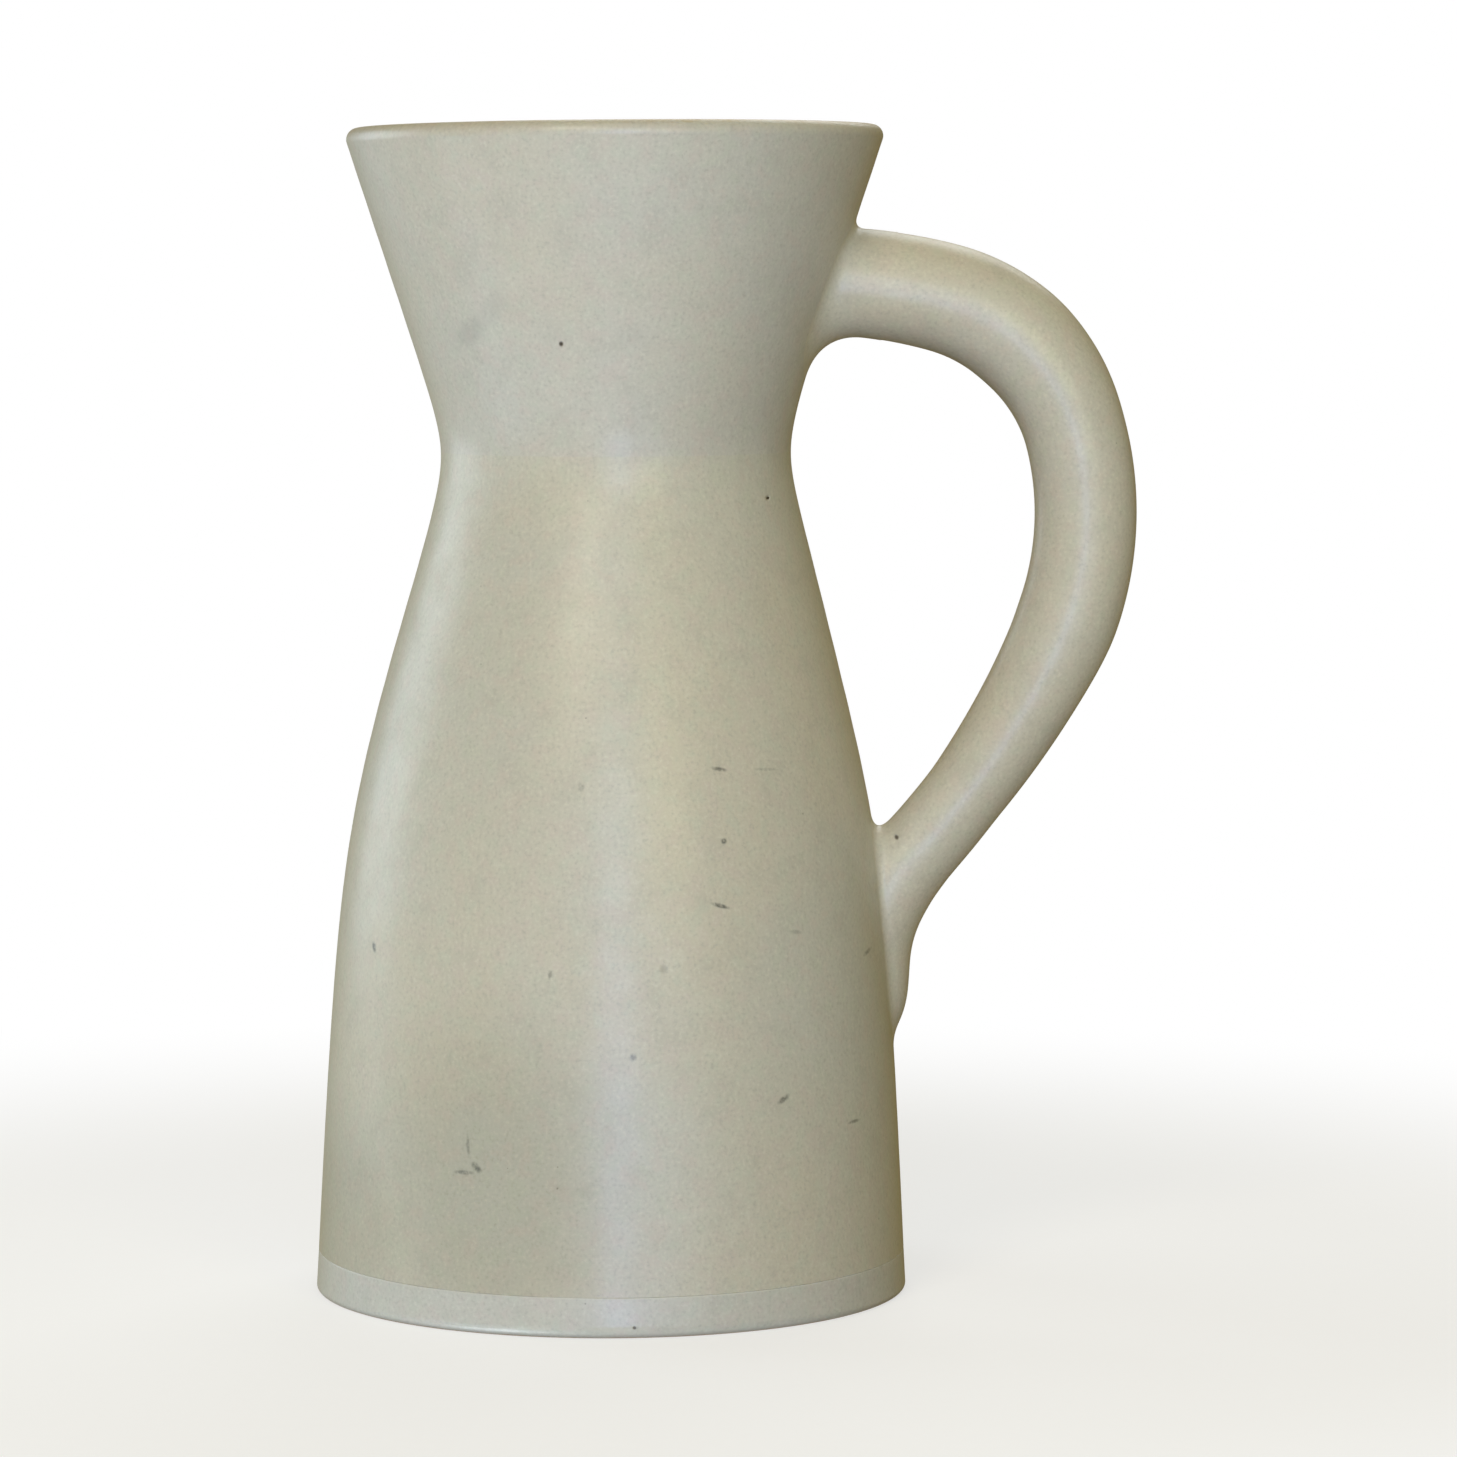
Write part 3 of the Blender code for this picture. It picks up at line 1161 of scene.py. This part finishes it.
@dataclass
class Vessel:
    """The pot itself: foot disc, inside coil, bell wall and flared neck."""

    wall: WallShape
    hand: HandWork
    disc_top: float
    columns: int = 288
    band_flare: float = 0.0005
    band_edge: float = 0.0033
    band_edge_sides: float = 0.0011
    arris: float = 0.00035
    seam_step: float = 0.00008
    coil_radius: float = 0.0080
    coil_edge: float = 0.0005
    lip_outside: float = 0.0028
    lip_inside: float = 0.0020
    thin_glaze_height: float = 0.0016
    bell_rings: int = 130
    neck_rings: int = 64
    floor_rings: int = 24
    band_rings: int = 8
    arris_rings: int = 7
    edge_rings: int = 19
    hollow_rings: int = 15
    lip_outside_rings: int = 19
    lip_inside_rings: int = 17

    def build(self) -> None:
        """Builds and dresses the four pieces."""
        self.foot_disc()
        self.inside_coil()
        self.bell_wall()
        self.flared_neck()

    def turn(self, outline: Array, looped: bool) -> tuple[Array, Faces]:
        """Turns an outline and lets it settle as thrown.

        Args:
            outline: rows of radius and height.
            looped: whether the outline is a closed loop.

        Returns:
            The points and the faces.
        """
        points, faces = turned(outline, self.columns, looped)
        return self.hand.settle(points), faces

    def foot_outline(self, edge_radius: float) -> Array:
        """The disc's outline: its floor, a softened arris, the flared band, the rounded edge, the underside.

        Args:
            edge_radius: how far the lower edge is rounded.

        Returns:
            Rows of radius and height, always as many.
        """
        top = float(self.wall.outer(self.disc_top))
        low = top + self.band_flare
        turn_in = math.degrees(math.atan2(self.band_flare, self.disc_top - edge_radius))
        corner = (top - self.arris, self.disc_top - self.arris)
        arris = arc(corner, self.arris, 90, turn_in, self.arris_rings)
        edge = arc((low - edge_radius, edge_radius), edge_radius, turn_in, -90, self.edge_rings)
        return np.concatenate([
            [[0.0, self.disc_top]],
            run((0.0, self.disc_top), tuple(arris[0]), self.floor_rings),
            arris,
            run(tuple(arris[-1]), tuple(edge[0]), self.band_rings),
            edge,
            run(tuple(edge[-1]), (0.0, 0.0), self.floor_rings),
            [[0.0, 0.0]],
        ])

    def foot_disc(self) -> None:
        """The disc; the wiped lower edge is rounder in front and behind than at the sides.

        The two roundings are mixed by the square of the sine of the turn.
        """
        round_end, faces = turned(self.foot_outline(self.band_edge), self.columns, looped=False)
        tight_end = turned(self.foot_outline(self.band_edge_sides), self.columns, looped=False)[0]
        x, y = round_end[:, 0], round_end[:, 1]
        share = (y**2 / np.maximum(x**2 + y**2, 1e-12))[:, None]
        points = share * round_end + (1 - share) * tight_end
        # paler, bluer colours than the wall glaze: painted sheen where the flared foot band faces a little
        # upwards
        glaze = SatinGlaze(
            "foot_glaze", (0.535, 0.525, 0.465), (0.550, 0.525, 0.440), (0.520, 0.522, 0.482),
            highlight_at=self.disc_top, thin_below=self.thin_glaze_height, specks=DARK_SPECKS[3:],
        )
        made = make_piece(Piece.DISC, (self.hand.settle(points), faces))
        settle_in(made, ("base_disc",), glaze.material())

    def inside_coil(self) -> None:
        """The coil in the inside corner: up the wall, then down a hollow quarter round to the floor."""
        low, high = self.disc_top, self.disc_top + self.coil_radius
        wall_low, wall_high = float(self.wall.inner(low)), float(self.wall.inner(high))
        middle = (wall_high - self.coil_radius, high)
        hollow = arc(middle, self.coil_radius - self.coil_edge, -90, 0, self.hollow_rings)
        corners = np.array([[wall_high, high], [wall_low, low], [wall_low - self.coil_radius, low]])
        made = make_piece(Piece.COIL, self.turn(np.concatenate([corners, hollow]), looped=True))
        settle_in(made, ("base_coil",), SatinGlaze("inner_glaze").material())

    def bell_wall(self) -> None:
        """The bell: the outer wall down from the waist, across its foot, and the inner wall back up."""
        waist = self.wall.waist_height
        heights = self.wall.rings(self.disc_top, waist, self.bell_rings, self.seam_step)
        outer = np.stack([self.wall.outer(heights), heights], axis=1)[::-1]
        inner = np.stack([self.wall.inner(heights), heights], axis=1)
        glaze = SatinGlaze(
            "wall_glaze", marks=METAL_MARKS, specks=DARK_SPECKS[1:2], pinholes=PINHOLES,
            dark_patches=LOW_DARK_PATCHES,
        )
        made = make_piece(Piece.BELL, self.turn(np.concatenate([outer, inner]), looped=True))
        settle_in(made, ("lower_wall",), glaze.material())

    def lip(self) -> tuple[Array, float, float]:
        """The rim in section: a tight inner corner, a narrow flat and a rounder outer corner.

        Returns:
            Rows of radius and height from the inside outwards, and the heights where the lip leaves
            the outer and the inner wall.
        """
        top = self.wall.height
        lean = float(self.wall.lean(top - self.lip_outside))
        tilt = math.degrees(lean)
        off = top - self.lip_outside * (1 + math.sin(lean))
        on = top - self.lip_inside * (1 - math.sin(lean))
        outer_middle = float(self.wall.outer(off)) - self.lip_outside * math.cos(lean)
        inner_middle = float(self.wall.inner(on)) + self.lip_inside * math.cos(lean)
        inner = (inner_middle, top - self.lip_inside)
        outer = (outer_middle, top - self.lip_outside)
        inside = arc(inner, self.lip_inside, 180 - tilt, 90, self.lip_inside_rings)
        outside = arc(outer, self.lip_outside, 90, -tilt, self.lip_outside_rings)
        return np.concatenate([inside, outside]), off, on

    def flared_neck(self) -> None:
        """The neck: over the rounded rim, down the outer wall to the waist and back up inside."""
        rim, off, on = self.lip()
        waist = self.wall.waist_height
        down = self.wall.rings(waist, off, self.neck_rings, self.seam_step)
        up = self.wall.rings(waist, on, self.neck_rings, self.seam_step)
        outer = np.stack([self.wall.outer(down), down], axis=1)[-2::-1]
        inner = np.stack([self.wall.inner(up), up], axis=1)[:-1]
        glaze = SatinGlaze(
            "neck_glaze", (0.530, 0.510, 0.435), (0.555, 0.507, 0.408), (0.512, 0.505, 0.455),
            specks=DARK_SPECKS[:1], grey_patches=GREY_PATCHES, edge_at=self.wall.height,
        )
        made = make_piece(Piece.NECK, self.turn(np.concatenate([rim, outer, inner]), looped=True))
        settle_in(made, ("neck_collar",), glaze.material())


@dataclass
class PulledHandle:
    """The handle and the two roots that it is luted on with."""

    wall: WallShape
    hand: HandWork
    limb: Limb = Limb()
    glaze: SatinGlaze = SatinGlaze(
        "handle_glaze", (0.568, 0.537, 0.430), (0.592, 0.532, 0.402), (0.550, 0.525, 0.445)
    )
    upper_end: float = 0.02415
    lower_start: float = 0.20265
    columns: int = 160
    rows: int = 170
    seam_step: float = 0.0002

    def build(self) -> None:
        """Builds and dresses the three pieces."""
        finish = self.glaze.material()
        self.upper_root(finish)
        self.handle(finish)
        self.lower_root()

    def handle(self, finish: bpy.types.Material) -> None:
        """The free part of the handle, between its two roots.

        Args:
            finish: its material.
        """
        start, end = self.upper_end, self.lower_start
        extra = self.seam_step * 2.0 ** np.arange(3)
        middle = np.linspace(start, end, self.rows)[2:-2]
        distance = np.concatenate([[start], start + extra, middle, end - extra[::-1], [end]])
        turn = np.linspace(0.0, 2 * math.pi, self.columns, endpoint=False)
        grid = self.hand.unsettle(self.limb.rings(distance, turn))
        ends = self.hand.unsettle(self.limb.read(np.array([start, end]))[0])
        points, faces = capped(grid, ends[0], ends[1])
        made = make_piece(Piece.HANDLE, (self.hand.settle(points), faces))
        settle_in(made, ("handle",), finish)

    def upper_root(self, finish: bpy.types.Material) -> None:
        """The upper root: tight against the neck on top, with a fingertip's hollow underneath.

        Args:
            finish: its material.
        """
        root = Root(
            wall=self.wall, limb=self.limb, hand=self.hand, ring_at=self.upper_end,
            limb_from=0.0, limb_to=0.040, middle=0.2518,
            outer_width=0.0030, side_width=0.0032, inner_width=0.0110, at_start=True, rows=44,
        )
        made = make_piece(Piece.UPPER_ROOT, root.shape())
        settle_in(made, ("handle_upper_joint",), finish)

    def lower_root(self) -> None:
        """The lower root: a crotch at the top and a long tail smeared down the bell."""
        root = Root(
            wall=self.wall, limb=self.limb, hand=self.hand, ring_at=self.lower_start,
            limb_from=0.187, limb_to=0.2592, middle=0.088,
            outer_width=0.0018, side_width=0.0019, inner_width=0.0046, at_start=False, rows=110,
        )
        glaze = replace(self.glaze, name="handle_tail_glaze", specks=DARK_SPECKS[2:3])
        made = make_piece(Piece.LOWER_ROOT, root.shape())
        settle_in(made, ("handle_lower_joint",), glaze.material())


# ---------------------------------------------------------------- the studio


@dataclass(frozen=True)
class SoftBox:
    """A soft rectangular light, placed by its bearing and height as seen from the jug."""

    name: str
    bearing: float
    rise: float
    width: float
    tall: float
    power: float
    colour: Colour
    away: float = 1.3
    aim: tuple[float, float, float] = (0.0, 0.0, 0.14)

    def build(self) -> None:
        """Makes the light; a bearing of 0 is where the camera stands and it grows to the right."""
        bearing, rise = math.radians(self.bearing), math.radians(self.rise)
        level = self.away * math.cos(rise)
        offset = Vector((level * math.sin(bearing), -level * math.cos(bearing), self.away * math.sin(rise)))
        data = bpy.data.lights.new(self.name, "AREA")
        data.shape = "RECTANGLE"
        data.size = self.width
        data.size_y = self.tall
        data.energy = self.power
        data.color = self.colour
        light = bpy.data.objects.new(self.name, data)
        bpy.context.scene.collection.objects.link(light)
        light.location = Vector(self.aim) + offset
        light.rotation_euler = offset.to_track_quat("Z", "Y").to_euler()


@dataclass(frozen=True)
class Studio:
    """A pale floor, soft light and the camera."""

    lights: tuple[SoftBox, ...] = (
        SoftBox("key", -18.0, 34.0, 0.42, 0.42, 5.3, (1.0, 0.90, 0.70)),
        SoftBox("window", -116.0, 12.0, 0.80, 0.80, 7.2, (0.76, 0.89, 1.0)),
        SoftBox("left_card", -75.0, -25.0, 0.42, 0.42, 1.4, (0.60, 0.78, 1.0)),
        SoftBox("table_left", -62.0, -60.0, 0.42, 0.42, 8.0, (0.80, 0.92, 1.0)),
        SoftBox("front", 3.5, 14.0, 0.30, 0.42, 3.6, (0.50, 0.73, 1.0)),
        SoftBox("front_low", 3.5, -7.0, 0.30, 0.42, 4.3, (0.38, 0.50, 1.0)),
        SoftBox("right", 24.0, 14.0, 0.42, 0.42, 3.1, (1.0, 0.93, 0.46)),
        SoftBox("right_low", 24.0, -6.0, 0.42, 0.42, 1.15, (0.39, 0.62, 1.0)),
        SoftBox("back", 165.0, 45.0, 0.80, 0.80, 6.0, (0.90, 0.95, 1.0)),
    )
    surroundings: Colour = (0.185, 0.136, 0.030)
    camera_place: tuple[float, float, float] = (0.0299, -1.350, 0.2528)
    camera_dip: float = 4.76
    lens: float = 133.87
    floor_radius: float = 6.0
    floor_sides: int = 96
    floor_glow: float = 0.62
    floor_colour: Colour = (0.86, 0.86, 0.85)
    floor_fade: tuple[float, float] = (0.20, 0.50)

    def build(self) -> None:
        """Builds the floor, the surroundings, the lights and the camera."""
        self.floor()
        self.world()
        for light in self.lights:
            light.build()
        self.camera()
        bpy.context.scene.view_settings.view_transform = "Standard"

    def floor(self) -> None:
        """A round matte floor whose colour runs out into plain white away from the jug."""
        turn = np.linspace(0.0, 2 * math.pi, self.floor_sides, endpoint=False)
        rim = np.stack([self.floor_radius * np.cos(turn), self.floor_radius * np.sin(turn), 0 * turn], axis=1)
        mesh = bpy.data.meshes.new("floor")
        faces = fan(np.arange(self.floor_sides), self.floor_sides)
        mesh.from_pydata(np.vstack([rim, [[0.0, 0.0, 0.0]]]).tolist(), [], faces.tolist())
        made = bpy.data.objects.new("floor", mesh)
        bpy.context.scene.collection.objects.link(made)
        made.visible_glossy = False
        made.visible_diffuse = False
        made.visible_shadow = False
        bench = Bench("pale_floor")
        away = bench.node("ShaderNodeVectorMath", {"operation": "LENGTH"}, {0: bench.place}).outputs["Value"]
        grain = bench.noise(0.004, 3.0)
        paler = tuple(min(part * 1.03, 1.0) for part in self.floor_colour)
        matte = bench.node("ShaderNodeBsdfDiffuse", {}, {"Color": bench.mix(grain, self.floor_colour, paler)})
        glow = bench.node("ShaderNodeEmission", {}, {"Color": (1.0, 1.0, 1.0, 1.0), "Strength": 1.0})
        share = bench.step(away, *self.floor_fade, self.floor_glow, 1.0)
        both = bench.node("ShaderNodeMixShader", {}, {0: share, 1: matte.outputs[0], 2: glow.outputs[0]})
        bench.tree.links.new(both.outputs[0], bench.output.inputs[0])
        mesh.materials.append(bench.material)

    def world(self) -> None:
        """White behind the jug, and dim warm surroundings for everything that they light."""
        world = bpy.data.worlds.new("surroundings")
        world.use_nodes = True
        bpy.context.scene.world = world
        tree = world.node_tree
        tree.nodes.clear()
        path = tree.nodes.new("ShaderNodeLightPath")
        seen = tree.nodes.new("ShaderNodeBackground")
        around = tree.nodes.new("ShaderNodeBackground")
        seen.inputs["Color"].default_value = (1.0, 1.0, 1.0, 1.0)
        around.inputs["Color"].default_value = (*self.surroundings, 1.0)
        both = tree.nodes.new("ShaderNodeMixShader")
        output = tree.nodes.new("ShaderNodeOutputWorld")
        tree.links.new(path.outputs["Is Camera Ray"], both.inputs[0])
        tree.links.new(around.outputs[0], both.inputs[1])
        tree.links.new(seen.outputs[0], both.inputs[2])
        tree.links.new(both.outputs[0], output.inputs[0])

    def camera(self) -> None:
        """The camera, level from side to side and tipped a little down."""
        data = bpy.data.cameras.new("camera")
        data.lens = self.lens
        data.sensor_width = 36.0
        made = bpy.data.objects.new("camera", data)
        bpy.context.scene.collection.objects.link(made)
        made.location = self.camera_place
        made.rotation_euler = Euler((math.radians(90.0 - self.camera_dip), 0.0, 0.0))
        bpy.context.scene.camera = made


def main() -> None:
    """Builds the jug piece by piece, then the studio."""
    logging.basicConfig(level=logging.INFO, format="%(message)s")
    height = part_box("neck_collar")[1].z
    disc_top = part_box("base_disc")[1].z
    wall = WallShape(height=height)
    hand = HandWork(height=height)
    Vessel(wall, hand, disc_top).build()
    PulledHandle(wall, hand).build()
    Studio().build()


if __name__ == "__main__":
    main()
